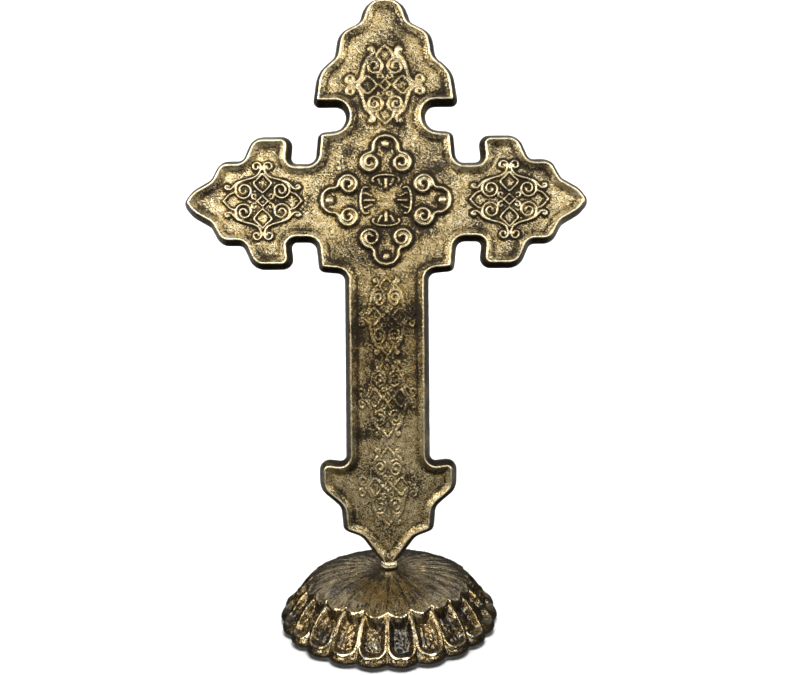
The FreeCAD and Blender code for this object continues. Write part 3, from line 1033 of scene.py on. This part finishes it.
# ---------------- small pieces
def lathe(name, section, columns, material, replaces, wobble, marks=None):
    """A closed turned piece from a ring section of (radius, height) points, a little out of true.

    Marks give one value for each point of the section.
    """
    angle = np.arange(columns) * 2 * math.pi / columns
    section = np.asarray(section, float)
    r = np.repeat(section[None, :, 0], columns, 0)
    z = np.repeat(section[None, :, 1], columns, 0)
    uneven = bumps_over(np.sin(angle)[:, None] * r + z, np.cos(angle)[:, None] * r, 1.3, 6.6)
    bore_r = section[:, 0].min()
    r = r + wobble * uneven * smoothstep(bore_r, bore_r + 1.0, r)
    points = spun(angle, r, z).reshape(-1, 3)
    all_round = {key: np.tile(values, columns) for key, values in (marks or {}).items()}
    faces = turned_over(tube_faces(columns, len(section), closed=True))
    new_piece(name, points, faces, material, replaces, all_round)


def make_collar():
    """A cast ferrule: a lip on the foot's top, darkened by patina and painted shade, then a lumpy bead
    under the cross, rubbed bright and given a painted highlight.
    """
    low, high = COLLAR_LOW[2], COLLAR_HIGH[2]
    foot_r, waist_r, bead_r = COLLAR_HIGH[0], 3.2, 3.75
    rise = np.linspace(0, 1, 18)
    bulge = (bead_r - waist_r) * np.sin(math.pi * rise) ** 2
    flare_r = waist_r + (foot_r - waist_r) * (1 - rise) ** 5 + bulge
    flare_z = low + 0.5 + (high - low - 0.75) * rise
    section = [(HOLE_R, low), (foot_r - 0.25, low), (foot_r, low + 0.25)]
    section += list(zip(flare_r, flare_z))
    section += [(waist_r - 0.25, high), (HOLE_R, high)]
    above_lip = smoothstep(low + 0.6, low + 1.5, np.array(section)[:, 1])
    # The bead is rubbed and carries a painted highlight; the lip takes patina and painted shade.
    marks = {"wear_and_highlight": 0.75 * above_lip, "patina_and_shade": 0.8 * (1 - above_lip)}
    material = antique_gold("gold_on_collar", tarnish=-0.02, grain_mm=0.6)
    lathe("neck_ferrule", section, 96, material, "neck_collar", 0.45, marks)


def make_rod(steel):
    """The M4 rod: plain inside the cross, with a real helical thread below the foot's top."""
    pitch, depth = 0.7, 0.42
    columns, rows_per_turn = 40, 8
    low, high = ROD_LOW[2], ROD_HIGH[2]
    thread_top = COLLAR_LOW[2]
    threaded = np.arange(low, thread_top, pitch / rows_per_turn)
    plain = np.concatenate([np.linspace(thread_top, high - 0.4, 24), [high]])
    z = np.concatenate([threaded, plain])[:, None]
    angle = (np.arange(columns) * 2 * math.pi / columns)[None, :]
    phase = (z / pitch - angle / (2 * math.pi)) % 1
    cut = depth * (1 - np.abs(2 * phase - 1)) * smoothstep(thread_top, thread_top - 1.0, z)
    chamfer = 0.45 * smoothstep(low + 0.6, low, z) + 0.4 * smoothstep(high - 0.4, high, z)
    r = ROD_R - np.maximum(cut, chamfer)
    points = np.stack([r * np.cos(angle), r * np.sin(angle), z + 0 * angle], 2)
    faces = tube_faces(len(z), columns)
    new_piece("threaded_rod", points.reshape(-1, 3), faces, steel, "stem_rod")


def make_felt():
    """Felt ring with slightly frayed edges."""
    outer, inner = FELT_HIGH[0], HEM_INNER_R + 0.6
    low, high = FELT_LOW[2], FELT_HIGH[2]
    section = [(inner, low + 0.25), (inner + 0.2, low)]
    section += [(r, low) for r in np.linspace(inner + 0.8, outer - 0.8, 6)]
    section += [(outer - 0.2, low), (outer, low + 0.25), (outer, high - 0.2), (outer - 0.15, high)]
    section += [(inner + 0.15, high), (inner, high - 0.2)]
    lathe("felt_under_foot", section, 360, black_felt(), "felt_ring", 0.1)


def dress_cad_hardware(steel):
    for name in ("wide_washer", "spring_washer", "hex_nut"):
        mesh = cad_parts[name].data
        mesh.materials.clear()
        mesh.materials.append(steel)


# ---------------- camera, floor and light
CAMERA_AT = (6.4, -298.0, 138.2)
CAMERA_LENS = 26.78
CAMERA_ROLL = 0.45         # degrees

FLOOR_HALF = 2600.0        # half the floor's width, and how far it comes forward
WALL_Y = 900.0
WALL_TOP = 845.0
SWEEP_R = 300.0            # radius at which the floor turns up into the wall


def make_camera():
    data = bpy.data.cameras.new("camera")
    data.lens = CAMERA_LENS
    data.sensor_width = 36
    data.clip_start = 0.01
    camera = new_object("camera", data)
    camera.location = Vector(CAMERA_AT) * MM
    camera.rotation_euler = (math.radians(90), math.radians(CAMERA_ROLL), 0)
    bpy.context.scene.camera = camera


def make_stage():
    """A pale floor that sweeps up into a low backdrop."""
    path = [(-FLOOR_HALF, 0.0), (-600.0, 0.0), (WALL_Y - SWEEP_R, 0.0)]
    for a in np.linspace(0, math.pi / 2, 12)[1:]:
        path.append((WALL_Y - SWEEP_R + SWEEP_R * math.sin(a), SWEEP_R - SWEEP_R * math.cos(a)))
    path.append((WALL_Y, WALL_TOP))
    points = [(x, y, z) for y, z in path for x in (-FLOOR_HALF, FLOOR_HALF)]
    faces = [(2 * i, 2 * i + 1, 2 * i + 3, 2 * i + 2) for i in range(len(path) - 1)]
    made, tree, shader = blank_material("paper_sweep")
    fill(tree, shader, {"Base Color": ramp(tree, grain(tree, 3.0, 3), PAPER), "Roughness": 0.9})
    floor = new_object("floor", new_mesh("floor", points, faces, made))
    # The metal mirrors a dark room, not the paper.
    floor.visible_glossy = False
    return floor


def softbox(name, azimuth, elevation, away, width, height, radiance, aim=(0, 0, 150)):
    """A soft panel. Azimuth 0 is in front of what it aims at, and 90 is to the camera's right."""
    turn, lift = math.radians(azimuth), math.radians(elevation)
    towards = Vector((math.sin(turn) * math.cos(lift), -math.cos(turn) * math.cos(lift), math.sin(lift)))
    data = bpy.data.lights.new(name, "AREA")
    data.shape = "RECTANGLE"
    data.size = width * MM
    data.size_y = height * MM
    data.energy = radiance * math.pi * data.size * data.size_y
    light = new_object(name, data)
    light.location = (Vector(aim) + towards * away) * MM
    light.rotation_euler = (-towards).to_track_quat("-Z", "Y").to_euler()
    return light


def only_for(lights, name, objects, blockers=False):
    """These lights shine on these objects only. With blockers, nothing else shades them either."""
    group = bpy.data.collections.new(name)
    for each in objects:
        group.objects.link(each)
    for light in lights:
        light.light_linking.receiver_collection = group
        if blockers:
            light.light_linking.blocker_collection = group


def make_world():
    """A room that is white to look at, but gives the metal little to mirror."""
    world = bpy.data.worlds.new("studio")
    world.use_nodes = True
    tree = world.node_tree
    seen = node(tree, "ShaderNodeLightPath", {}).outputs["Is Camera Ray"]
    strength = remap(tree, seen, 0, 1, 0.05, 1.0)
    fill(tree, tree.nodes["Background"], {"Color": (1.0, 1.0, 1.0, 1), "Strength": strength})
    bpy.context.scene.world = world


def make_light(floor):
    # Each row: name, azimuth, elevation, distance, width, height, radiance.
    shared = [
        softbox("front_fill", 0, -15, 1400, 900, 600, 1.0),
        softbox("rear_panel", 180, 50, 1000, 1500, 800, 0.9),
    ]
    on_cross = [
        softbox("left_panel", -42, 25, 1000, 1300, 660, 4.8),
        softbox("right_panel", 43, 23, 1000, 1150, 640, 3.6),
        softbox("upper_panel", 0, 72, 1000, 1000, 480, 1.5),
        softbox("rear_left_panel", -124, -4, 1200, 1200, 900, 1.1),
        softbox("rear_right_panel", 124, -4, 1200, 1200, 900, 1.1),
    ]
    # Narrow strips put thin bright lines on the foot's ribs.
    on_foot = [
        softbox("foot_left_strip", -38, 34, 900, 260, 620, 11.0),
        softbox("foot_right_strip", 34, 34, 900, 240, 560, 10.0),
        softbox("foot_top_panel", 0, 70, 1000, 1100, 440, 3.4),
    ]
    pieces = [o for o in bpy.context.scene.objects if o.type == "MESH" and o != floor]
    foot = [o for o in pieces if o.name.startswith("foot")]
    only_for(shared, "object_only", pieces, blockers=True)
    only_for(on_cross, "cross_only", [o for o in pieces if o not in foot], blockers=True)
    only_for(on_foot, "foot_only", foot)

    # Two beams light the paper and nothing else.
    from_above = softbox("floor_beam", 0, 90, 1500, 5600, 4600, 1.3, aim=(0, -850, 0))
    from_front = softbox("wall_beam", 0, 0, 1500, 5400, 900, 1.1, aim=(0, 900, 450))
    for beam, spread in ((from_above, 50), (from_front, 12)):
        beam.data.spread = math.radians(spread)
        beam.visible_glossy = False
    only_for([from_above], "floor_only", [floor])
    only_for([from_front], "wall_only", [floor], blockers=True)


# ---------------- build
def main():
    make_camera()
    steel = plated_steel()
    outline = smoothed(seam_outline())
    make_shells(outline)
    make_seam(outline)
    make_foot()
    make_collar()
    make_rod(steel)
    make_felt()
    dress_cad_hardware(steel)
    floor = make_stage()
    make_world()
    make_light(floor)
    bpy.context.scene.view_settings.view_transform = "Standard"
    bpy.context.view_layer.update()


main()
